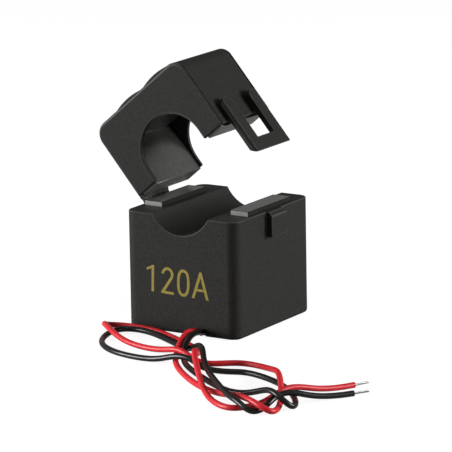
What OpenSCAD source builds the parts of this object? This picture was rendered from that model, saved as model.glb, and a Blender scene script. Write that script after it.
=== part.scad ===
// Split-core current transformer for a 16 mm cable, 120 A class, in millimetres.
// A hinged upper housing closes a magnetic ring round the cable. The secondary
// winding sits on the lower core and ends in two flying leads.
// Origin: middle of the underside. Front is -Y, the cable runs along Y, and the
// lid swings on the -X side.

/* [Lower housing] */
// Width across hinge and latch
body_w = 31.5; // [30:0.5:40]
// Depth along the cable
body_d = 34.8; // [31:0.2:44]
// Height of the underside to the mating plane
body_h = 29; // [28:0.5:36]
// Radius of the upright corners
corner_r = 2.8; // [2:0.1:4]
// Radius of the bottom edge
foot_r = 0.9; // [0.3:0.1:1]
// Thickness of the front and back walls
wall = 1.5; // [1.2:0.1:2]
// Thickness of the two side walls beside the core
side_wall = 1; // [0.8:0.05:1.2]
// Room in front of the winding for the splices
splice_room = 2.65; // [2.4:0.05:4]
// Thickness of the top deck and the saddle shell
deck = 1.2; // [0.8:0.1:1.6]
// Distance from the cable saddle's circle to the core's legs
saddle_land = 0.9; // [0.8:0.1:1.6]
// Height of the saddle's axis above the mating plane
saddle_rise = 4.1; // [3.6:0.1:4.6]

/* [Lid] */
// Height of the lid above the mating plane
lid_h = 19.6; // [19.6:0.2:24]
// Thickness of the lid's front and back walls
lid_wall = 1.15; // [0.9:0.05:1.6]
// Thickness of the lid's top
lid_top = 0.9; // [0.7:0.1:1]
// Radius of the lid's top corners
lid_corner_r = 3.5; // [2:0.1:4]
// Width of lid wall left between the cable arch and the core's legs
arch_land = 0.6; // [0.4:0.1:1.2]
// Height of the arch's crown above the mating plane
arch_top = 11.8; // [11:0.1:12]
// Radius of the two grip humps on the lid
hump_r = 18; // [16:0.5:22]
// Height of the grip humps above the lid
hump_rise = 1.5; // [1:0.1:2]
// Length of the grip humps along the cable
hump_len = 14; // [8:0.5:16]
// Angle that the lid stands open
open_angle = 40; // [20:1:40]

/* [Latch] */
// How far the catch stands out of the housing
catch_proud = 1.8; // [1.6:0.05:2]
// Width of the catch
catch_w = 7; // [5:0.2:8]
// Height of the catch below the mating plane
catch_h = 6.2; // [5:0.2:7]
// Clearance of the hoop round the catch
catch_fit = 0.3; // [0.2:0.05:0.5]
// How far the hoop stands out of the housing
hoop_proud = 1.95; // [1.9:0.05:2.3]
// Thickness of the hoop
hoop_t = 1.55; // [1.2:0.05:1.6]
// Bite of the hoop's cross bar under the catch
catch_bite = 0.45; // [0.3:0.05:0.5]
// Width of each hoop bar and of the cross bar
hoop_bar = 3.6; // [3:0.1:4]
// Height of the hoop's roots on the lid wall
root_h = 5.6; // [4:0.2:8]

/* [Core] */
// Width of a core limb
limb = 5; // [4:0.1:5.2]
// Height of a core yoke
yoke = 4; // [3:0.1:4]
// Radius of a core's outer corners
core_r = 2.5; // [1:0.1:2.8]
// How far the lower poles stand above the mating plane
pole_proud = 1.15; // [0.8:0.05:1.3]
// How far the upper poles stand below the lid when it is open
pole_out = 0.45; // [0.2:0.05:0.5]
// Gap left between the pole faces when the lid is shut
pole_gap = 0.15; // [0.05:0.05:0.2]
// Sliding clearance of the cores in their pockets
core_fit = 0.05; // [0.03:0.01:0.08]
// Height of the lower yoke above the underside
yoke_z = 7; // [6.5:0.1:8]

/* [Winding] */
// Thickness of the bobbin's tube and flanges
bobbin_t = 0.8; // [0.6:0.1:1]
// Build of the secondary winding
winding_build = 2; // [1:0.1:2.2]
// Thickness of the outer tape wrap
tape_t = 0.2; // [0.1:0.05:0.3]
// Height of the potting resin in the base
potting_h = 3.1; // [2.5:0.1:3.3]

/* [Hinge] */
// Distance of the pivot outside the housing wall
pivot_out = 2.7; // [2.5:0.1:3]
// Height of the pivot above the mating plane
pivot_up = 1.1; // [1:0.1:1.3]
// Radius of the hinge barrel
barrel_r = 1.9; // [1.6:0.05:2]
// Radius of the hinge pin
pin_r = 0.75; // [0.5:0.05:1]
// Running clearance of the pin in the lid's knuckle
pin_fit = 0.05; // [0.03:0.01:0.08]
// Length of the whole hinge
hinge_len = 8; // [7:0.5:12]
// Width of each of the housing's two ears
ear_w = 2; // [1.5:0.1:2.5]

/* [Leads] */
// Outer diameter of a lead
lead_d = 1.4; // [1.2:0.1:1.6]
// Distance between the two leads where they leave
lead_pitch = 1.8; // [1.7:0.1:2.4]
// Place of the lead exit across the front wall
lead_x = 5; // [0:0.5:8]
// Diameter of the tinned strands
strand_d = 0.6; // [0.4:0.05:0.8]
// Length of the tinned strands
strand_len = 4; // [3:0.5:8]

/* [Hidden] */
$fn = 64;
slack = 0.1;                                    // gap between moving neighbours
eps = 0.01;
half_w = body_w / 2;
half_d = body_d / 2;
pocket_out = half_w - side_wall;
limb_out = pocket_out - core_fit;
limb_in = limb_out - limb;
pocket_in = limb_in - core_fit;
inner_y = half_d - wall;
flange_rim = winding_build + tape_t + 0.3;
half_core = inner_y - splice_room - flange_rim - bobbin_t - core_fit;
pocket_y = half_core + core_fit;
saddle_r = limb_in - saddle_land;
arch_half = limb_in - arch_land;
hump_x = body_w * 0.162;                        // hump centres, either side of the middle
ceiling = body_h - deck;
shell_r = saddle_r + deck;
saddle_z = body_h + saddle_rise;
pivot_x = -half_w - pivot_out;
pivot_z = body_h + pivot_up;
mate_z = body_h + slack;                        // the closed lid's lower plane
lid_half_d = pocket_y + lid_wall;
lid_ceiling = lid_h - lid_top;
arch_r = arch_half;
arch_z = arch_top - arch_r;
core_travel = pole_proud + pole_gap - slack + pole_out;
red_x = lead_x - lead_pitch / 2;
black_x = lead_x + lead_pitch / 2;
exit_z = lead_d / 2 + 0.4;                      // lead axis where it leaves
well_y = inner_y - splice_room / 2;                      // splices, in front of the winding
core_rest = lid_ceiling - core_fit - yoke - core_travel; // underside of the parked upper yoke
edge = 0.75;                                    // bevel on the hoop's long edges
groove = 0.25;                                  // depth of the rim groove
hoop_out = half_w + hoop_proud;
hoop_in = hoop_out - hoop_t;
window_half = catch_w / 2 + catch_fit;
hoop_half = window_half + hoop_bar;
window_low = catch_h + catch_fit + slack;
hoop_low = window_low + hoop_bar;
lip_in = half_w + catch_proud - catch_bite;      // inner face of the cross bar at the catch
stop_reach = pivot_out - 0.02;                  // the heel meets the wall with the lid open
tube_z0 = yoke_z - core_fit - bobbin_t;
tube_z1 = yoke_z + yoke + core_fit + bobbin_t;
tube_y = half_core + core_fit + bobbin_t;
flange_x = limb_in - core_fit;
floor_r = lead_d / 2 + 0.05;                    // a lead lying on the table
// Lead routes: splice, front wall, then over the table; higher where one crosses another.
// Y is measured from the front wall's face.
function from_front(route) = [for (q = route) q - [0, half_d, 0]];
red_route = from_front([
    [red_x, half_d - well_y, 6], [red_x, half_d - well_y, exit_z], [red_x, -0.4, exit_z],
    [5.6, -6, 2.3], [8.6, -13.6, 2.5], [11.2, -20.6, floor_r], [16.4, -28.8, floor_r],
    [28.5, -40, floor_r], [38, -45, floor_r], [46.4, -49.6, 2.3], [53, -53.6, 2.5],
    [57, -53.2, floor_r], [56.8, -49.4, floor_r], [52.8, -41.4, floor_r], [47.6, -33, 2.1],
    [43.6, -27.6, 2.3], [39.4, -22.8, 1.3], [32.4, -18.8, floor_r], [27.4, -18.6, floor_r],
    [23.4, -22.6, floor_r], [19.4, -23.6, floor_r], [15.2, -23, 2.4], [11.8, -22.2, 2.4],
    [6, -20.4, 1.2], [-5, -17.4, 1.1], [-12.4, -13, 2.4], [-16.2, -9.2, 2.4],
    [-18.8, -5.2, 1.2], [-17.4, -2.2, floor_r], [-13.4, -1.2, floor_r], [-4.5, -2.5, floor_r],
    [6, -8.8, floor_r], [12.8, -12.6, floor_r], [15.6, -17.6, floor_r], [18.8, -23.6, 3],
    [21.2, -28.2, 3.9], [30.2, -40.6, 2.6], [37.6, -49, floor_r], [45.6, -54.4, floor_r],
    [49, -52.4, floor_r], [51.6, -46.2, floor_r], [52.8, -41.4, 2.5], [55, -36.6, 2.4],
    [58, -31, floor_r], [61.3, -23.4, floor_r]]);
black_route = from_front([
    [black_x, half_d - well_y, 6], [black_x, half_d - well_y, exit_z], [black_x, -0.4, exit_z],
    [7.6, -6.6, 2.3], [11, -15.2, 2.5], [13.4, -21, floor_r], [18.8, -27.8, floor_r],
    [29.4, -35.9, floor_r], [39.4, -42.6, floor_r], [46, -43.8, 1.4], [51.6, -45.8, 3.2],
    [55.8, -48.6, 3.3], [59, -47.8, 0.9], [58.6, -44.4, floor_r], [53.6, -37.4, floor_r],
    [46.5, -30.2, floor_r], [34, -24.6, floor_r], [30.4, -27, floor_r], [25.2, -27.8, floor_r],
    [22.4, -28, 1.3], [20.2, -28.2, 2.6], [15.4, -27.8, 2.5], [9.5, -26.4, floor_r],
    [0, -25.6, floor_r], [-7, -22.6, floor_r], [-12.6, -17, floor_r], [-15.2, -8.6, floor_r],
    [-14.2, -4.4, floor_r], [-10.4, -3.2, floor_r], [-4.6, -4.8, floor_r], [6.4, -11.6, floor_r],
    [12, -15.6, 0.9], [16.8, -18.6, 3.2], [20.8, -23.4, 3.2], [23.6, -28, 3], [29.4, -35.6, 2.5],
    [36.4, -43.2, 2.6], [45, -51.8, 2.4], [49, -54, 2.3], [52.6, -55, floor_r],
    [54, -51.6, floor_r], [53.6, -47.6, 1.6], [54.8, -44.6, 2.6], [57.4, -41.8, 2.4],
    [60.6, -37, floor_r], [64.8, -29.8, floor_r]]);

// ---- helpers -------------------------------------------------------------

// A rectangle with round corners, drawn from arcs and straight sides.
module round_rect(w, d, r) {
    square([w - 2 * r, d], center = true);
    square([w, d - 2 * r], center = true);
    for (x = [-1, 1], y = [-1, 1])
        translate([x * (w / 2 - r), y * (d / 2 - r)]) circle(r);
}

// A rod along Y, centred on y = 0.
module rod_y(x, z, r, len) {
    translate([x, len / 2, z]) rotate([90, 0, 0]) cylinder(r = r, h = len);
}

// An outline in X and Z, made solid along Y from y0 to y1.
module along_y(y0, y1) {
    translate([0, y1, 0]) rotate([90, 0, 0]) linear_extrude(height = y1 - y0) children();
}

// A box from its lowest to its highest corner.
module block(low, high) {
    translate(low) cube(high - low);
}

// Puts what is drawn on a closed lid where the open lid stands.
module opened() {
    translate([pivot_x, 0, pivot_z]) rotate([0, -open_angle, 0])
        translate([-pivot_x, 0, -pivot_z]) children();
}

// ---- lower housing ---------------------------------------------------------

// The catch that the hoop snaps over, with its lead-in at the top.
module catch() {
    lead_in = catch_proud / 2;
    along_y(-catch_w / 2, catch_w / 2)
        polygon([[half_w - deck / 2, body_h], [half_w + catch_proud - lead_in, body_h],
            [half_w + catch_proud, body_h - lead_in], [half_w + catch_proud, body_h - catch_h],
            [half_w - deck / 2, body_h - catch_h]]);
}

// One ear of the hinge, with the web that carries it on the wall.
module ear(y0) {
    along_y(y0, y0 + ear_w) {
        translate([pivot_x, pivot_z]) circle(barrel_r);
        polygon([[pivot_x - barrel_r, pivot_z], [-half_w + deck / 2, body_h - 7],
            [-half_w + deck / 2, body_h], [-half_w - 0.3, body_h],
            [pivot_x + 1, pivot_z + barrel_r - 0.4]]);
    }
}

module lead_notch(x) {
    translate([x, -half_d + wall + eps, exit_z]) rotate([90, 0, 0])
        cylinder(d = lead_d + 2 * core_fit, h = wall + 1);
    block([x - lead_d / 2 - core_fit, -half_d - 1, -1],
        [x + lead_d / 2 + core_fit, -half_d + wall + eps, exit_z]);
}

// What is cut away outside a fillet of radius foot_r, w from the origin.
module foot_profile(w) {
    difference() {
        translate([w - foot_r, -1]) square([foot_r + 1, foot_r + 1]);
        translate([w - foot_r, foot_r]) circle(foot_r);
    }
}

// The rounding of the bottom edge all the way round.
module foot_rounding() {
    side_x = half_w - corner_r;
    side_y = half_d - corner_r;
    for (turn = [0, 180]) rotate([0, 0, turn]) {
        along_y(-side_y, side_y) foot_profile(half_w);
        rotate([0, 0, 90]) along_y(-side_x, side_x) foot_profile(half_d);
        translate([side_x, side_y, 0]) rotate_extrude(angle = 90) foot_profile(corner_r);
        translate([-side_x, side_y, 0]) rotate([0, 0, 90]) rotate_extrude(angle = 90)
            foot_profile(corner_r);
    }
}

module lower_housing() {
    color("#333332") difference() {
        union() {
            linear_extrude(height = body_h) round_rect(body_w, body_d, corner_r);
            catch();
            ear(-hinge_len / 2);
            ear(hinge_len / 2 - ear_w);
        }
        // coil chamber, open below and roofed by the saddle
        difference() {
            block([-pocket_out, -inner_y, -1], [pocket_out, inner_y, ceiling]);
            rod_y(0, saddle_z, shell_r, body_d);
        }
        // cable saddle
        rod_y(0, saddle_z, saddle_r, body_d + 2);
        // pole windows through the deck
        for (side = [-1, 1])
            block([side * (pocket_in + pocket_out) / 2 - (pocket_out - pocket_in) / 2, -pocket_y, ceiling - 1],
                [side * (pocket_in + pocket_out) / 2 + (pocket_out - pocket_in) / 2, pocket_y, body_h + 1]);
        rod_y(pivot_x, pivot_z, pin_r, hinge_len + 2);
        lead_notch(red_x);
        lead_notch(black_x);
        foot_rounding();
    }
}

// Resin that seals the open base and holds the leads.
module base_potting() {
    color("#2a2a2c") difference() {
        block([-pocket_out, -inner_y, 0], [pocket_out, inner_y, potting_h]);
        for (x = [red_x, black_x]) {
            translate([x, -well_y, exit_z]) cylinder(d = lead_d, h = potting_h);
            translate([x, -well_y, exit_z]) rotate([90, 0, 0]) cylinder(d = lead_d, h = wall + 1);
            translate([x, -well_y, exit_z]) sphere(d = lead_d);
        }
    }
}

// ---- magnetic circuit and winding -----------------------------------------

// A U core's outline: poles at z = 0 pointing down, yoke on top at height h.
module core_outline(h) {
    difference() {
        pocket_outline(limb_out, h, core_r);
        translate([-limb_in, -1]) square([2 * limb_in, h - yoke + 1]);
    }
}

// A block outline of half width w with its two top corners rounded.
module pocket_outline(w, h, r) {
    translate([-w, 0]) square([2 * w, h - r]);
    translate([-w + r, 0]) square([2 * (w - r), h]);
    for (side = [-1, 1]) translate([side * (w - r), h - r]) circle(r);
}

module lower_core() {
    color("#7d7d7b") along_y(-half_core, half_core) translate([0, body_h + pole_proud])
        mirror([0, 1]) core_outline(body_h + pole_proud - yoke_z);
}

// A sleeve round the yoke between x0 and x1, from radius step a to step b.
module sleeve(x0, x1, a, b) {
    difference() {
        block([x0, -tube_y - b, tube_z0 - b], [x1, tube_y + b, tube_z1 + b]);
        block([x0 - 1, -tube_y - a, tube_z0 - a], [x1 + 1, tube_y + a, tube_z1 + a]);
    }
}

module bobbin() {
    color("#d8d4c6") union() {
        sleeve(-flange_x, flange_x, -bobbin_t, 0);
        sleeve(-flange_x, -flange_x + bobbin_t, -bobbin_t, flange_rim);
        sleeve(flange_x - bobbin_t, flange_x, -bobbin_t, flange_rim);
    }
}

module secondary_winding() {
    color("#b4642a") sleeve(-flange_x + bobbin_t, flange_x - bobbin_t, 0, winding_build);
}

module winding_tape() {
    color("#d9b53a") sleeve(-flange_x + bobbin_t, flange_x - bobbin_t,
        winding_build, winding_build + tape_t);
}

// Heat-shrink over the joint of a coil end and a lead.
module splice(x, name) {
    color(name) translate([x, -well_y, potting_h]) difference() {
        cylinder(d = lead_d + 0.35, h = 6);
        translate([0, 0, -eps]) cylinder(d = lead_d, h = 3 + eps);
    }
}

// ---- lid -------------------------------------------------------------------

// Opening for the cable in the lid's front and back walls.
module arch_outline() {
    translate([0, arch_z]) circle(arch_r);
    translate([-arch_half, -1]) square([2 * arch_half, arch_z + 1]);
}

module hump_outline(side) {
    intersection() {
        translate([side * hump_x, lid_h + hump_rise - hump_r]) circle(hump_r, $fn = 128);
        translate([side * hump_x - 8, lid_h - lid_top / 2]) square([16, hump_rise + lid_top]);
    }
}

// The hoop seen from the side: Y across, Z up, a window, and roots with round tops.
module hoop_outline() {
    root_w = hoop_bar + edge;
    difference() {
        union() {
            translate([-hoop_half - edge, -hoop_low])
                square([2 * (hoop_half + edge), hoop_low + root_h - root_w / 2]);
            for (side = [-1, 1])
                translate([side * (hoop_half + edge - root_w / 2), root_h - root_w / 2])
                    circle(d = root_w);
        }
        translate([-window_half, -window_low]) square([2 * window_half, window_low + root_h + 1]);
    }
}

// The hoop's section seen from above, with its two outer edges bevelled.
module hoop_section(x0) {
    polygon([[x0, -hoop_half - edge], [hoop_out - edge, -hoop_half - edge],
        [hoop_out, -hoop_half], [hoop_out, hoop_half],
        [hoop_out - edge, hoop_half + edge], [x0, hoop_half + edge]]);
}

// The latch hoop with its roots on the lid wall and the lead-in below.
module hoop() {
    lead_in = hoop_t - 0.25;
    difference() {
        intersection() {
            union() {
                translate([0, 0, -hoop_low]) linear_extrude(height = hoop_low + eps)
                    hoop_section(hoop_in);
                linear_extrude(height = root_h) hoop_section(half_w - side_wall / 2);
            }
            translate([half_w - side_wall, 0, 0]) rotate([90, 0, 90])
                linear_extrude(height = hoop_proud + side_wall + 1) hoop_outline();
        }
        // channel in the cross bar that lets the catch ride in under it
        block([hoop_in - 1, -window_half, -hoop_low - 1], [lip_in, window_half, -window_low + 1]);
        along_y(-lid_half_d, lid_half_d) polygon([[hoop_in - 1, -hoop_low + lead_in + 1],
            [hoop_in + lead_in + 1, -hoop_low - 1], [hoop_in - 1, -hoop_low - 1]]);
    }
}

// Knuckle between the housing's ears, on an arm from the lid's wall.
module knuckle() {
    half = hinge_len / 2 - ear_w - slack;
    px = pivot_x;
    pz = pivot_up - slack;
    along_y(-half, half) {
        translate([px, pz]) circle(barrel_r);
        translate([px, pz - barrel_r + 1]) square([pivot_out + side_wall / 2, 2 * barrel_r - 1.4]);
    }
    // heel that stops the open lid against the housing's wall
    translate([px, 0, pz]) rotate([0, open_angle, 0]) along_y(-half, half)
        polygon([[-1.2, -1], [1, -0.5], [stop_reach, -1.6], [stop_reach, -3.2], [1.6, -3.2]]);
}

module lid_shell() {
    difference() {
        union() {
            along_y(-lid_half_d, lid_half_d) pocket_outline(half_w, lid_h, lid_corner_r);
            along_y(-hump_len / 2, hump_len / 2) {
                hump_outline(-1);
                hump_outline(1);
            }
        }
        // core bay
        along_y(-pocket_y, pocket_y) {
            pocket_outline(pocket_out, lid_ceiling, core_r);
            translate([-pocket_out, -1]) square([2 * pocket_out, 2]);
        }
        // relief that lets the hinge-side wall swing past the lower pole
        block([-pocket_out - 0.15, -pocket_y, -1], [0, pocket_y, pole_proud + 0.15]);
        // spring seats under the humps
        for (side = [-1, 1])
            block([side * hump_x - 4, -4, lid_ceiling - eps], [side * hump_x + 4, 4, lid_ceiling + 1]);
        // groove round the front and back rims
        for (side = [-1, 1]) translate([0, side * (pocket_y + 0.35), 0]) along_y(-0.18, 0.18)
            difference() {
                translate([-half_w - 1, -1]) square([body_w + 2, lid_h + 2]);
                translate([0, -2]) pocket_outline(half_w - groove, lid_h + 2 - groove, lid_corner_r);
            }
        along_y(-lid_half_d - 1, lid_half_d + 1) arch_outline();
    }
    // stops that keep the core in when the lid is open
    for (side = [-1, 1])
        block([-3, side * (pocket_y - 0.4) - 0.6, arch_top + 0.1],
            [3, side * (pocket_y - 0.4) + 0.6, core_rest - core_fit]);
}

module lid_housing() {
    color("#333332") opened() translate([0, 0, mate_z]) difference() {
        union() {
            lid_shell();
            hoop();
            knuckle();
        }
        rod_y(pivot_x, pivot_up - slack, pin_r + pin_fit, hinge_len + 2);
    }
}

// Upper core: its poles stand pole_out below the lid's plane when it is open.
module upper_core() {
    color("#7d7d7b") opened() translate([0, 0, mate_z - pole_out])
        along_y(-half_core, half_core) core_outline(core_rest + yoke + pole_out);
}

// Leaf spring, a shallow arc of spring steel in its seat under a hump.
module core_spring(side) {
    strip = 0.2;
    span = 7.6;
    bow = 0.7;
    arc_r = (span * span / 4 + bow * bow) / (2 * bow);
    top = lid_ceiling + 1 - 0.05;
    color("#b9bcc0") opened() translate([side * hump_x, 0, mate_z + top - arc_r])
        intersection() {
            difference() {
                rod_y(0, 0, arc_r, 6);
                rod_y(0, 0, arc_r - strip, 7);
            }
            block([-span / 2, -3.5, arc_r - bow - strip], [span / 2, 3.5, arc_r + 1]);
        }
}

module hinge_pin() {
    color("#c4c6c9") rod_y(pivot_x, pivot_z, pin_r, hinge_len - 0.1);
}

// ---- leads -----------------------------------------------------------------

function unit(v) = v / norm(v);
function tangent(route, i) = i == 0 ? unit(route[1] - route[0])
    : i == len(route) - 1 ? unit(route[i] - route[i - 1])
    : unit(unit(route[i + 1] - route[i]) + unit(route[i] - route[i - 1]));
function across(t) = abs(t[2]) > 0.99 ? [-1, 0, 0] : unit(cross(t, [0, 0, 1]));

// A tube swept along a route, with a ring at each of its points.
module tube(route, d, sides = 8) {
    rings = [for (i = [0 : len(route) - 1]) let (t = tangent(route, i), a = across(t), b = cross(a, t))
        for (k = [0 : sides - 1]) route[i] + d / 2 * (a * cos(360 * k / sides) + b * sin(360 * k / sides))];
    last = (len(route) - 1) * sides;
    sides_of = [for (i = [0 : len(route) - 2], k = [0 : sides - 1])
        [i * sides + k, i * sides + (k + 1) % sides, (i + 1) * sides + (k + 1) % sides, (i + 1) * sides + k]];
    ends = [[for (k = [sides - 1 : -1 : 0]) k], [for (k = [0 : sides - 1]) last + k]];
    polyhedron(points = rings, faces = concat(ends, sides_of), convexity = 20);
}

// Bare tinned strands that follow on from the end of a route.
module strands(route) {
    n = len(route) - 1;
    t = unit(route[n] - route[n - 1]);
    color("#c9c5bb") translate(route[n]) rotate([0, 90, atan2(t[1], t[0])])
        cylinder(d = strand_d, h = strand_len);
}

// ---- drawing -----------------------------------------------------------------

lower_housing();
base_potting();
lower_core();
bobbin();
secondary_winding();
winding_tape();
splice(red_x, "#a01820");  // red_splice
splice(black_x, "#1c1c1c");  // black_splice
color("#d8202e") tube(red_route, lead_d);  // red_lead
color("#1c1c1c") tube(black_route, lead_d);  // black_lead
strands(red_route);  // red_tinned_end
strands(black_route);  // black_tinned_end
hinge_pin();
lid_housing();
core_spring(-1);  // left_spring
core_spring(1);  // right_spring
upper_core();
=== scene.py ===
import json
import math

import bmesh
import bpy
from mathutils import Matrix, Vector


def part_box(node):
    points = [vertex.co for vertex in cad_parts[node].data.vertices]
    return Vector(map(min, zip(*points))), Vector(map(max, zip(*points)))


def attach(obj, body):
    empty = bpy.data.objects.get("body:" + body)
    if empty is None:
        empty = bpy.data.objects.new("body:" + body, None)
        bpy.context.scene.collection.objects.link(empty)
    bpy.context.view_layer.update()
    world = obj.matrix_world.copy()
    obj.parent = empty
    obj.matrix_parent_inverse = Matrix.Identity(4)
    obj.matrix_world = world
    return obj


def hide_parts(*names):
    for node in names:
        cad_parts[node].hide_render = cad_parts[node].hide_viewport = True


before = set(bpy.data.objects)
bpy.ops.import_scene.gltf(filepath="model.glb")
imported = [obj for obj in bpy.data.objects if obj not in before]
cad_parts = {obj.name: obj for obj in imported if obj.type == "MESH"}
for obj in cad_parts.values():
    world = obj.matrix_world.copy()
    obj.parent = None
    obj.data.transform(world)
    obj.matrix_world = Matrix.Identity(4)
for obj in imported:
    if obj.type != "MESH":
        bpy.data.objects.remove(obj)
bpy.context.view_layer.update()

# ---- camera: a long lens from the front right, a little above --------------------------------
# It stands on a line through the middle of the object's underside, then moves across and up.
# Distances are in millimetres.
AZ, EL, ROLL = math.radians(31.90), math.radians(12.80), math.radians(-1.01)
FAR, ACROSS, RISE = 959.9, 1.52, 22.62
back = Vector((math.sin(AZ) * math.cos(EL), -math.cos(AZ) * math.cos(EL), math.sin(EL)))
level = Vector((math.cos(AZ), math.sin(AZ), 0))
upright = back.cross(level)
right = level * math.cos(ROLL) + upright * math.sin(ROLL)
up = upright * math.cos(ROLL) - level * math.sin(ROLL)
cam_data = bpy.data.cameras.new("camera")
cam_data.lens = 312.6
cam_data.sensor_width = 36
cam_data.clip_start = 0.1
camera = bpy.data.objects.new("camera", cam_data)
bpy.context.scene.collection.objects.link(camera)
aim = Matrix((right, up, back)).transposed().to_4x4()
stand = (FAR * back + ACROSS * right + RISE * up) * 0.001
camera.matrix_world = Matrix.Translation(stand) @ aim
bpy.context.scene.camera = camera

# ---- lower housing: the box that carries the winding and the lower core ----------------------
# One moulding of glass-filled PBT. The tool is spark-eroded, so the walls have an even fine
# grain that reads as matt black. Its rounded edges are painted a little paler, a painted
# highlight.


def linear(code):
    """A hex sRGB colour as linear RGBA, opaque."""
    parts = [int(code[i:i + 2], 16) / 255 for i in (1, 3, 5)]
    return [c / 12.92 if c <= 0.04045 else ((c + 0.055) / 1.055) ** 2.4 for c in parts] + [1.0]


def add(tree, kind, x, y, links=(), **values):
    """Adds a shader or geometry node at x, y. values are its properties or unlinked inputs,
    and links are (node, output, input)."""
    n = tree.nodes.new(kind)
    n.location = (x, y)
    for key, value in values.items():
        if hasattr(n, key):
            setattr(n, key, value)
        else:
            n.inputs[key.replace("_", " ")].default_value = value
    for source, output, inp in links:
        tree.links.new(source.outputs[output], n.inputs[inp])
    return n


def mottled(name, low, high, rough, grain, bump, spec=0.5, metal=0.0):
    """A material whose colour drifts from low to high in spots of a real size. grain and
    bump are the spots' size and height in millimetres."""
    m = bpy.data.materials.new(name)
    m.use_nodes = True
    t = m.node_tree
    p = t.nodes["Principled BSDF"]
    p.inputs["Roughness"].default_value = rough
    p.inputs["Metallic"].default_value = metal
    p.inputs["Specular IOR Level"].default_value = spec
    co = add(t, "ShaderNodeTexCoord", -900, 0)
    no = add(t, "ShaderNodeTexNoise", -700, 0, [(co, "Object", "Vector")],
             Scale=1000 / grain, Detail=3)
    ra = add(t, "ShaderNodeValToRGB", -450, 0, [(no, "Fac", "Fac")])
    # Noise keeps near a half, so the two colours stand close round the middle.
    for stop, place, code in zip(ra.color_ramp.elements, (0.36, 0.64), (low, high)):
        stop.position, stop.color = place, linear(code)
    bu = add(t, "ShaderNodeBump", -300, -300, [(no, "Fac", "Height")],
             Strength=0.5, Distance=bump / 1000)
    t.links.new(ra.outputs["Color"], p.inputs["Base Color"])
    t.links.new(bu.outputs["Normal"], p.inputs["Normal"])
    return m


# An edge is sharp where its faces turn by more than this.
SHARP = math.radians(32)


def bevelled(node, width, materials, body, segments=2, others=1.0, hollows=True,
             crisp=()):
    """A copy of a CAD node with its sharp edges rounded; it replaces the node. The rims at
    its front and back ends get the whole width, and others is the share that the other
    edges get. materials are the faces' own and the rounded edges', or one for both.
    hollows rounds inner corners too. What lies in the crisp boxes (low, high) stays sharp."""
    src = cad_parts[node]
    bm = bmesh.new()
    bm.from_mesh(src.data)
    bmesh.ops.remove_doubles(bm, verts=bm.verts, dist=1e-6)
    bmesh.ops.dissolve_limit(bm, angle_limit=math.radians(1), verts=bm.verts, edges=bm.edges)
    weight = bm.edges.layers.float.new("bevel_weight_edge")
    lo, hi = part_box(node)
    for e in bm.edges:
        sharp = e.is_manifold and e.calc_face_angle(0) > SHARP
        mid = (e.verts[0].co + e.verts[1].co) / 2
        if any(all(a <= m <= b for a, m, b in zip(low, mid, high)) for low, high in crisp):
            sharp = False
        rim = min(mid.y - lo.y, hi.y - mid.y) < 1e-5
        e[weight] = float(sharp and (hollows or e.is_convex)) * (1.0 if rim else others)
    me = bpy.data.meshes.new(node + "_shell")
    bm.to_mesh(me)
    bm.free()
    for f in me.polygons:
        f.use_smooth = True
    o = bpy.data.objects.new(node + "_shell", me)
    bpy.context.scene.collection.objects.link(o)
    me.set_sharp_from_angle(angle=SHARP)
    b = o.modifiers.new("rounded edges", "BEVEL")
    b.width = width
    b.segments = segments
    b.limit_method = "WEIGHT"
    b.harden_normals = True
    b.use_clamp_overlap = False
    b.material = len(materials) - 1
    w = o.modifiers.new("flat faces stay flat", "WEIGHTED_NORMAL")
    w.keep_sharp = True
    w.weight = 100
    me.materials.clear()
    for m in materials:
        me.materials.append(m)
    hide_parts(node)
    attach(o, body)
    return o


# The real grain is about 0.1 mm. It is drawn at 0.4 mm to show.
GRAIN = 0.4
moulding = mottled("black PBT, spark-eroded grain", "#2C2C2B", "#363634", 0.6, GRAIN, 0.03,
                   spec=0.12)
# The rounded edges are painted paler than the walls, as a painted highlight.
edge = mottled("black PBT, edges painted paler as highlight", "#474745", "#525250", 0.4, GRAIN, 0.03, spec=0.12)
# The thin web between the two lead notches is too narrow to round, and the saddle meets
# the deck in a crisp line. These are the boxes round them, in metres.
WEB = ((0.003, -0.018, -0.001), (0.007, -0.015, 0.0025))
SADDLE = ((-0.0096, -0.0172, 0.0285), (0.0096, 0.0172, 0.0295))
bevelled("lower_housing", 0.00025, (moulding, edge), "base",
         crisp=(WEB, SADDLE))

# ---- rating: the rated current, printed on the front wall ------------------------------------
# Pad printing lays a thin film of gold ink on the grain. It is semi-matt, and a little
# uneven where the grain shows through.

# Each character is drawn in millimetres, x and z from its left foot. CAP is its height,
# STROKE the thickness of its line, and STEPS the straight pieces in one curve.
CAP = 6.6
STROKE = 0.7
STEPS = 24


def ring(cx, cz, rx, rz, start, end, power=2.0):
    """Points along an ellipse, or a squarer oval where power is over 2; degrees."""
    pts = []
    for i in range(STEPS + 1):
        a = math.radians(start + (end - start) * i / STEPS)
        c, d = math.cos(a), math.sin(a)
        pts.append((cx + rx * math.copysign(abs(c) ** (2 / power), c),
                    cz + rz * math.copysign(abs(d) ** (2 / power), d)))
    return pts


# The right side of the one's upright.
STEM = 2.1
one = [[(0, 5.15), (0, 5.75), (1.75, CAP), (STEM, CAP), (STEM, 0), (STEM - STROKE, 0),
        (STEM - STROKE, 5.75)]]
two = [ring(1.75, 4.84, 1.68, 1.76, 180, -36)
       + [(1.05, 0.64), (3.58, 0.64), (3.58, 0), (0, 0), (0, 0.45)]
       + ring(1.75, 4.84, 1.68 - STROKE, 1.76 - STROKE, -36, 180)]
# The nought is a squarish oval, a trace taller than the flat characters.
HALF_WIDE, HALF_TALL = 1.78, CAP / 2 + 0.06
nought = [ring(HALF_WIDE, CAP / 2, HALF_WIDE, HALF_TALL, 0, 360, 2.4)[:-1],
          ring(HALF_WIDE, CAP / 2, HALF_WIDE - STROKE, HALF_TALL - STROKE, 360, 0, 2.4)[:-1]]
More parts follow.
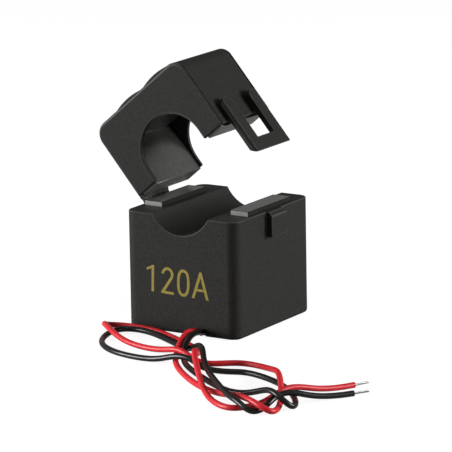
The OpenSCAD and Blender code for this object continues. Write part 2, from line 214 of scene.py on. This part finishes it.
# The A's legs lean alike inside and out, and its bar joins them between two heights.
WIDE, APEX, FOOT = 4.8, 0.62, 0.76
BAR = (1.85, 2.45)
lean = (WIDE - APEX) / 2 / CAP


def leg(z):
    """How far an inner side of the A has come in at the height z."""
    return FOOT + z * lean


amps = [[(0, 0), ((WIDE - APEX) / 2, CAP), ((WIDE + APEX) / 2, CAP), (WIDE, 0), (WIDE - FOOT, 0),
         (WIDE - leg(BAR[0]), BAR[0]), (leg(BAR[0]), BAR[0]), (FOOT, 0)],
        [(leg(BAR[1]), BAR[1]), (WIDE - leg(BAR[1]), BAR[1]),
         (WIDE / 2, (WIDE / 2 - FOOT) / lean)]]
ink = mottled("gold pad-printing ink", "#9A8B38", "#AA9B44", 0.5, GRAIN, 0.01, spec=0.3)
# The film is 0.03 mm thick, and the curve grows by half of that to each side.
HALF_FILM = 0.000015
outline = bpy.data.curves.new("rating", "CURVE")
outline.dimensions = "2D"
outline.fill_mode = "BOTH"
outline.extrude = HALF_FILM
# The print sits a little crooked, lower at its right. Its foot is 9.45 mm above the table.
SKEW = math.tan(math.radians(1.8))
BASELINE = 9.45
for left, glyph in ((-9.8, one), (-5.6, two), (-1.14, nought), (3.06, amps)):
    for loop in glyph:
        s = outline.splines.new("POLY")
        s.points.add(len(loop) - 1)
        for pt, (x, z) in zip(s.points, loop):
            across, height = left + x + z * SKEW, BASELINE + z - (left + x) * SKEW
            pt.co = (across / 1000, height / 1000, 0, 1)
        s.use_cyclic_u = True
flat = bpy.data.objects.new("rating", outline)
bpy.context.scene.collection.objects.link(flat)
me = bpy.data.meshes.new_from_object(flat.evaluated_get(bpy.context.evaluated_depsgraph_get()))
bpy.data.objects.remove(flat)
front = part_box("lower_housing")[0][1]
me.transform(Matrix.Translation((0, front - HALF_FILM, 0))
             @ Matrix.Rotation(math.radians(90), 4, "X"))
me.materials.clear()
me.materials.append(ink)
rating = bpy.data.objects.new("rating_print", me)
bpy.context.scene.collection.objects.link(rating)
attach(rating, "base")

# ---- bobbin, winding and tape: inside the lower housing, round the core's yoke ---------------
# The bobbin is moulded nylon, ivory and softly dull. Fine enamelled wire is wound on it in
# layers, so copper shows under a clear gloss, and glossy amber polyester tape holds the turns.


def shader(m):
    """The node that holds a material's constants."""
    return m.node_tree.nodes["Principled BSDF"]


def lined(m, pitch, depth, turn=0.0):
    """Adds lines square to X at a real pitch, such as turns of wire or layers of strip.
    pitch and depth are in millimetres, and turn tilts the lines about Y, in degrees."""
    t = m.node_tree
    turned = add(t, "ShaderNodeMapping", -900, -600,
                 [(t.nodes["Texture Coordinate"], "Object", "Vector")],
                 Rotation=(0, math.radians(turn), 0))
    # A band is one turn of a sine of twenty times the scale.
    wave = add(t, "ShaderNodeTexWave", -700, -600, [(turned, "Vector", "Vector")],
               wave_type="BANDS", bands_direction="X", Scale=math.tau * 50 / pitch)
    ridges = add(t, "ShaderNodeBump", -100, -500,
                 [(wave, "Fac", "Height"), (t.nodes["Bump"], "Normal", "Normal")],
                 Strength=0.5, Distance=depth / 1000)
    t.links.new(ridges.outputs["Normal"], shader(m).inputs["Normal"])


def dress(names, m):
    """Gives a finish to CAD nodes whose shape stays as it is."""
    for name in names:
        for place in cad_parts[name].material_slots:
            place.material = m


nylon = mottled("ivory nylon, moulded", "#D2CEBE", "#DEDACC", 0.5, 2, 0.01)
dress(["bobbin"], nylon)
# The wire is 0.1 mm. Its turns are drawn at 0.3 mm to show.
wire = mottled("enamelled copper wire", "#A3541F", "#B9682E", 0.35, 1, 0.01, metal=1.0)
shader(wire).inputs["Coat Weight"].default_value = 1.0
lined(wire, 0.3, 0.05)
dress(["secondary_winding"], wire)
film = mottled("amber polyester film tape", "#C29A2C", "#D0AC3E", 0.25, 4, 0.02)
lined(film, 8, 0.05)
dress(["winding_tape"], film)

# ---- lower core: a U of wound silicon-steel strip, cut and ground at its two poles -----------
# The strip's edges face front and back and are bare and bright, in layers. Its broad faces
# are painted black, a painted shade. The poles are ground flat and mirror softly.
# The upper core stands open with the lid, by so many degrees, and its layers with it.
OPEN = 40
# The strip is 0.3 mm thick. Grinding leaves only a trace of its layers.
STRIP = 0.3
steel = {}
for turn in (0, OPEN):
    ends = mottled(f"silicon steel, strip edges at {turn}", "#8A8A86", "#969692",
                   0.35, 0.6, 0.01, metal=1.0)
    ground = mottled(f"silicon steel, ground pole at {turn}", "#D0D0CC", "#DCDCD8",
                     0.3, 0.6, 0.003, metal=1.0)
    shader(ground).inputs["Specular Tint"].default_value = linear("#A8A8A8")
    lined(ends, STRIP, 0.01, turn)
    lined(ground, STRIP, 0.003, turn)
    steel[turn] = (ends, ground)
# Black painted on the cores' broad faces and yoke faces stands in for shade: painted shade.
painted_shade_black = mottled("black paint for shade on steel", "#191817", "#201F1E", 0.5, 1.5, 0.05, spec=0.2)
# A face looks along a line when its normal has more than this share there. Of those that
# look along the gap, the poles lie within a millimetre of the tips.
ALONG = 0.9
POLE = 0.001


def core(name, faces, turn, body):
    """A half core with its bare ends, its ground poles and the inner face of its yoke painted
    black, as painted shade. faces is the finish of its sides, and turn is how far the half
    stands from shut, in degrees."""
    o = bevelled(name, 0.0001, (faces,), body, 1)
    for m in (*steel[turn], painted_shade_black):
        o.data.materials.append(m)
    a = math.radians(turn)
    # The poles look along the gap. The yoke's inner face looks the same way, from deeper.
    gap = Vector((math.sin(a), 0, -math.cos(a))) if turn else Vector((0, 0, 1))
    reach = max(f.center.dot(gap) for f in o.data.polygons)
    for f in o.data.polygons:
        if abs(f.normal.y) > ALONG:
            f.material_index = 1
        elif f.normal.dot(gap) > ALONG:
            # Index 3, the yoke's inner face, takes the black of painted shade.
            f.material_index = 2 if f.center.dot(gap) > reach - POLE else 3
    return o


# The lower core's sides and rounded edges are painted black as shade.
core("lower_core", painted_shade_black, 0, "base")

# ---- leads: PVC hook-up wire of 1.4 mm from the front of the base, with tinned tips ----------
# Each is spliced to the winding under a heat-shrink sleeve and lies in loose loops on the
# table. Extruded PVC is smooth and semi-gloss, and tinned strands are a dull silver.
# The routes are in millimetres, with Y from the front wall.
RED = [
    (4.1, 2.8, 6), (4.1, 2.8, 1.1), (4.1, -0.4, 1.1), (5.6, -6, 2.3), (8.6, -13.6, 2.5),
    (11.2, -20.6, 0.75), (16.4, -28.8, 0.75), (28.5, -40, 0.75), (38, -45, 0.75),
    (46.4, -49.6, 2.3), (53, -53.6, 2.5), (57, -53.2, 0.75), (56.8, -49.4, 0.75),
    (52.8, -41.4, 0.75), (47.6, -33, 2.1), (43.6, -27.6, 2.3), (39.4, -22.8, 1.3),
    (32.4, -18.8, 0.75), (27.4, -18.6, 0.75), (23.4, -22.6, 0.75), (19.4, -23.6, 0.75),
    (15.2, -23, 2.4), (11.8, -22.2, 2.4), (6, -20.4, 1.2), (-5, -17.4, 1.1),
    (-12.4, -13, 2.4), (-16.2, -9.2, 2.4), (-18.8, -5.2, 1.2), (-17.4, -2.2, 0.75),
    (-13.4, -1.2, 0.75), (-4.5, -2.5, 0.75), (6, -8.8, 0.75), (12.8, -12.6, 0.75),
    (15.6, -17.6, 0.75), (18.8, -23.6, 3), (21.2, -28.2, 3.9), (30.2, -40.6, 2.6),
    (37.6, -49, 0.75), (45.6, -54.4, 0.75), (49, -52.4, 0.75), (51.6, -46.2, 0.75),
    (52.8, -41.4, 2.5), (55, -36.6, 2.4), (58, -31, 0.75), (61.3, -23.4, 0.75),
]
BLACK = [
    (5.9, 2.8, 6), (5.9, 2.8, 1.1), (5.9, -0.4, 1.1), (7.6, -6.6, 2.3), (11, -15.2, 2.5),
    (13.4, -21, 0.75), (18.8, -27.8, 0.75), (29.4, -35.9, 0.75), (39.4, -42.6, 0.75),
    (46, -43.8, 1.4), (51.6, -45.8, 3.2), (55.8, -48.6, 3.3), (59, -47.8, 0.9),
    (58.6, -44.4, 0.75), (53.6, -37.4, 0.75), (46.5, -30.2, 0.75), (34, -24.6, 0.75),
    (30.4, -27, 0.75), (25.2, -27.8, 0.75), (22.4, -28, 1.3), (20.2, -28.2, 2.6),
    (15.4, -27.8, 2.5), (9.5, -26.4, 0.75), (0, -25.6, 0.75), (-7, -22.6, 0.75),
    (-12.6, -17, 0.75), (-15.2, -8.6, 0.75), (-14.2, -4.4, 0.75), (-10.4, -3.2, 0.75),
    (-4.6, -4.8, 0.75), (6.4, -11.6, 0.75), (12, -15.6, 0.9), (16.8, -18.6, 3.2),
    (20.8, -23.4, 3.2), (23.6, -28, 3), (29.4, -35.6, 2.5), (36.4, -43.2, 2.6),
    (45, -51.8, 2.4), (49, -54, 2.3), (52.6, -55, 0.75), (54, -51.6, 0.75),
    (53.6, -47.6, 1.6), (54.8, -44.6, 2.6), (57.4, -41.8, 2.4), (60.6, -37, 0.75),
    (64.8, -29.8, 0.75),
]
HALF_DEPTH = 17.4
LEAD_D = 1.4
# The height of a lead's axis where it lies on the table, and the share that is added to
# what stands above it.
RESTING = 0.75
LIFT = 0.35
# The thickness of a strand and the bare length.
STRAND = 0.2
TIP = 4.0


def lead(name, node, route, material):
    """A smooth round lead along its route; it replaces the CAD tube."""
    c = bpy.data.curves.new(name, "CURVE")
    c.dimensions = "3D"
    c.bevel_depth = LEAD_D / 2000
    c.bevel_resolution = 5
    c.resolution_u = 8
    s = c.splines.new("NURBS")
    s.points.add(len(route) - 1)
    for pt, (x, y, z) in zip(s.points, route):
        # The curve cuts its corners, so it is drawn through higher points where leads cross.
        z += LIFT * (z - RESTING) if y < 0 else 0
        pt.co = (x / 1000, (y - HALF_DEPTH) / 1000, z / 1000, 1)
    s.order_u = 4
    s.use_endpoint_u = True
    c.use_fill_caps = True
    c.materials.append(material)
    o = bpy.data.objects.new(name, c)
    bpy.context.scene.collection.objects.link(o)
    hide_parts(node)
    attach(o, "base")
    return o


tinned = mottled("tinned copper strand", "#B4B4B0", "#C8C8C4", 0.32, 0.3, 0.005, metal=1.0)

# Six strands are twisted round a seventh.
twist = bpy.data.node_groups.new("twisted strands", "GeometryNodeTree")
for label, kind in (("Length", "NodeSocketFloat"), ("Strand", "NodeSocketFloat"),
                    ("Turns", "NodeSocketFloat"), ("Outer", "NodeSocketInt"),
                    ("Finish", "NodeSocketMaterial")):
    twist.interface.new_socket(label, in_out="INPUT", socket_type=kind)
twist.interface.new_socket("Strands", in_out="OUTPUT", socket_type="NodeSocketGeometry")
given = add(twist, "NodeGroupInput", -1100, 0)
half = add(twist, "ShaderNodeMath", -900, -200, [(given, "Strand", 0)], operation="MULTIPLY")
half.inputs[1].default_value = 0.5
section = add(twist, "GeometryNodeCurvePrimitiveCircle", -700, -200,
              [(half, "Value", "Radius")], Resolution=8)
helix = add(twist, "GeometryNodeCurveSpiral", -700, 200,
            [(given, "Strand", "Start Radius"), (given, "Strand", "End Radius"),
             (given, "Length", "Height"), (given, "Turns", "Rotations")], Resolution=24)
outer = add(twist, "GeometryNodeCurveToMesh", -500, 200,
            [(helix, "Curve", "Curve"), (section, "Curve", "Profile Curve")], Fill_Caps=True)
height = add(twist, "ShaderNodeCombineXYZ", -900, 0, [(given, "Length", "Z")])
axis = add(twist, "GeometryNodeCurvePrimitiveLine", -700, 0, [(height, "Vector", "End")])
inner = add(twist, "GeometryNodeCurveToMesh", -500, 0,
            [(axis, "Curve", "Curve"), (section, "Curve", "Profile Curve")], Fill_Caps=True)
places = add(twist, "GeometryNodeMeshLine", -500, 400, [(given, "Outer", "Count")],
             Offset=(0, 0, 0))
order = add(twist, "GeometryNodeInputIndex", -900, 600)
step = add(twist, "ShaderNodeMath", -900, 500, [(given, "Outer", 1)], operation="DIVIDE")
step.inputs[0].default_value = math.tau
angle = add(twist, "ShaderNodeMath", -700, 550, [(order, "Index", 0), (step, "Value", 1)],
            operation="MULTIPLY")
facing = add(twist, "ShaderNodeCombineXYZ", -500, 550, [(angle, "Value", "Z")])
six = add(twist, "GeometryNodeInstanceOnPoints", -300, 300,
          [(places, "Mesh", "Points"), (outer, "Mesh", "Instance"),
           (facing, "Vector", "Rotation")])
bundle = add(twist, "GeometryNodeJoinGeometry", -100, 100,
             [(six, "Instances", "Geometry"), (inner, "Mesh", "Geometry")])
solid = add(twist, "GeometryNodeRealizeInstances", 100, 100,
            [(bundle, "Geometry", "Geometry")])
finish = add(twist, "GeometryNodeSetMaterial", 300, 100,
             [(solid, "Geometry", "Geometry"), (given, "Finish", "Material")])
add(twist, "NodeGroupOutput", 500, 100, [(finish, "Geometry", "Strands")])


def tinned_tip(name, node, route):
    """The bare twisted strands that follow on from the end of a lead."""
    maker = bpy.data.objects.new(name, bpy.data.meshes.new(name))
    bpy.context.scene.collection.objects.link(maker)
    mod = maker.modifiers.new("strands", "NODES")
    mod.node_group = twist
    sizes = {"Length": TIP / 1000, "Strand": STRAND / 1000, "Turns": 1.0, "Outer": 6,
             "Finish": tinned}
    for item in twist.interface.items_tree:
        if item.name in sizes:
            mod[item.identifier] = sizes[item.name]
    made = maker.evaluated_get(bpy.context.evaluated_depsgraph_get())
    mesh = bpy.data.meshes.new_from_object(made)
    bpy.data.objects.remove(maker)
    before, last = (Vector((x, y - HALF_DEPTH, z)) / 1000 for x, y, z in route[-2:])
    onward = (last - before).to_track_quat("Z", "Y").to_matrix().to_4x4()
    mesh.transform(Matrix.Translation(last) @ onward)
    for f in mesh.polygons:
        f.use_smooth = True
    o = bpy.data.objects.new(name, mesh)
    bpy.context.scene.collection.objects.link(o)
    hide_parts(node)
    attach(o, "base")
    return o


red_pvc = mottled("red PVC insulation, extruded", "#F4242F", "#FF3440", 0.38, 3, 0.01)
red_lead = lead("red_wire", "red_lead", RED, red_pvc)
red_tip = tinned_tip("red_strands", "red_tinned_end", RED)
black_pvc = mottled("black PVC insulation, extruded", "#090909", "#0E0E0E", 0.3, 3, 0.01)
black_lead = lead("black_wire", "black_lead", BLACK, black_pvc)
black_tip = tinned_tip("black_strands", "black_tinned_end", BLACK)
# The sleeves are shrunk polyolefin, duller than the leads.
dress(["red_splice"], mottled("red heat-shrink polyolefin", "#941820", "#A41E26",
                              0.55, 1, 0.02))
dress(["black_splice"], mottled("black heat-shrink polyolefin", "#181818", "#202020",
                                0.55, 1, 0.02))

# ---- potting: epoxy poured into the upturned base over the winding and the splices -----------
# It sets as a smooth dark level with a faint long ripple, semi-gloss.
epoxy = mottled("black potting epoxy", "#262628", "#2E2E30", 0.3, 6, 0.1)
dress(["base_potting"], epoxy)

# ---- hinge pin: drawn steel pin through the ears of the base and the knuckle of the lid ------
# Black oxide leaves it dark with a soft metal shine and faint drawing marks.
oxide = mottled("black-oxide steel, drawn", "#272728", "#303031", 0.4, 0.5, 0.005, metal=1.0)
dress(["hinge_pin"], oxide)

# ---- lid housing: the cover that carries the upper core, with the hoop that latches it -------
# It is moulded as the lower housing is, and its front and back rims are the most rounded.
# Its rounded rims take the same paler colour, a painted highlight.
bevelled("lid_housing", 0.0006, (moulding, edge), "lid",
         segments=3, others=0.33, hollows=False)

# ---- springs and upper core: the core floats in the lid, pressed down by two leaf springs ----
# The springs are bright rolled strip under the lid's two humps. The core is the same steel as
# the lower one, with pale varnished faces; only its yoke's inner face is painted black as shade.
strip = mottled("spring steel, rolled", "#A0A3A7", "#B0B3B7", 0.3, 0.8, 0.005, metal=1.0)
dress(["left_spring", "right_spring"], strip)
varnished = mottled("silicon steel, varnished", "#8C8C88", "#989894", 0.3, 1, 0.005, metal=1.0)
shader(varnished).inputs["Specular Tint"].default_value = linear("#8A8A8A")
core("upper_core", varnished, OPEN, "floating_core")

# ---- floor and backdrop: seen as plain white, and dulled in reflections ----------------------
# The floor is a broad sheet of matt paper, and the world round it is the backdrop.
# SHEEN is the share of their white that glossy surfaces mirror.
SHEEN = 0.23


def white_seen(t, lit, white, out):
    """The camera and clear parts see white, gloss sees it dulled, and light meets lit."""
    path = add(t, "ShaderNodeLightPath", -700, 300)
    dull = add(t, "ShaderNodeMath", -500, 150, [(path, "Is Glossy Ray", 0)],
               operation="MULTIPLY")
    dull.inputs[1].default_value = SHEEN
    clear = add(t, "ShaderNodeMath", -500, 350,
                [(path, "Is Camera Ray", 0), (path, "Is Transmission Ray", 1)],
                operation="MAXIMUM")
    seen = add(t, "ShaderNodeMath", -300, 250, [(clear, 0, 0), (dull, 0, 1)],
               operation="MAXIMUM")
    mix = add(t, "ShaderNodeMixShader", 300, 200, [(seen, 0, 0), (lit, 0, 1), (white, 0, 2)])
    t.links.new(mix.outputs[0], out.inputs["Surface"])


paper = mottled("matt paper", "#7E7E7E", "#828282", 0.9, 2, 0.01, spec=0.1)
t = paper.node_tree
# The camera's white is mostly its own. The rest is lit, so a faint shadow stays.
OWN, LIT = 0.88, 0.4
own = add(t, "ShaderNodeEmission", -200, 500, Color=(1, 1, 1, 1), Strength=OWN)
shaded = add(t, "ShaderNodeBsdfDiffuse", -200, 650, Color=(LIT, LIT, LIT, 1))
white = add(t, "ShaderNodeAddShader", 0, 550, [(own, 0, 0), (shaded, 0, 1)])
white_seen(t, shader(paper), white, t.nodes["Material Output"])
bpy.ops.mesh.primitive_plane_add(size=6, location=(0, 0, 0))
floor = bpy.context.object
floor.name = "floor"
floor.data.materials.append(paper)

world = bpy.data.worlds.new("studio")
bpy.context.scene.world = world
world.use_nodes = True
t = world.node_tree
# The world itself adds only a trace of light.
dim = t.nodes["Background"]
dim.inputs["Color"].default_value = (1, 1, 1, 1)
dim.inputs["Strength"].default_value = 0.03
white_seen(t, dim, add(t, "ShaderNodeBackground", 0, 400, Color=(1, 1, 1, 1), Strength=1.0),
           t.nodes["World Output"])

# ---- lamps: three softboxes, with the main one low at the front left -------------------------
# The large one lights the front, the right one lights the side, and a weak one above
# picks out the tops. Each stands 0.8 m from the object.
DISTANCE = 0.8


def softbox(name, azimuth, elevation, size, power):
    """A square area light round the object, aimed at it; degrees, metres and watts."""
    a, e = math.radians(azimuth), math.radians(elevation)
    place = Vector((math.sin(a) * math.cos(e), -math.cos(a) * math.cos(e), math.sin(e)))
    place *= DISTANCE
    d = bpy.data.lights.new(name, "AREA")
    d.shape = "SQUARE"
    d.size = size
    d.energy = power
    o = bpy.data.objects.new(name, d)
    bpy.context.scene.collection.objects.link(o)
    o.location = place
    o.rotation_euler = (-place).to_track_quat("-Z", "Y").to_euler()


softbox("softbox, front left", -52, 7, 0.45, 9.6)
softbox("softbox, right", 112, 16, 0.35, 5.3)
softbox("softbox, above", 10, 75, 0.3, 0.4)

bpy.context.scene.view_settings.view_transform = "Standard"
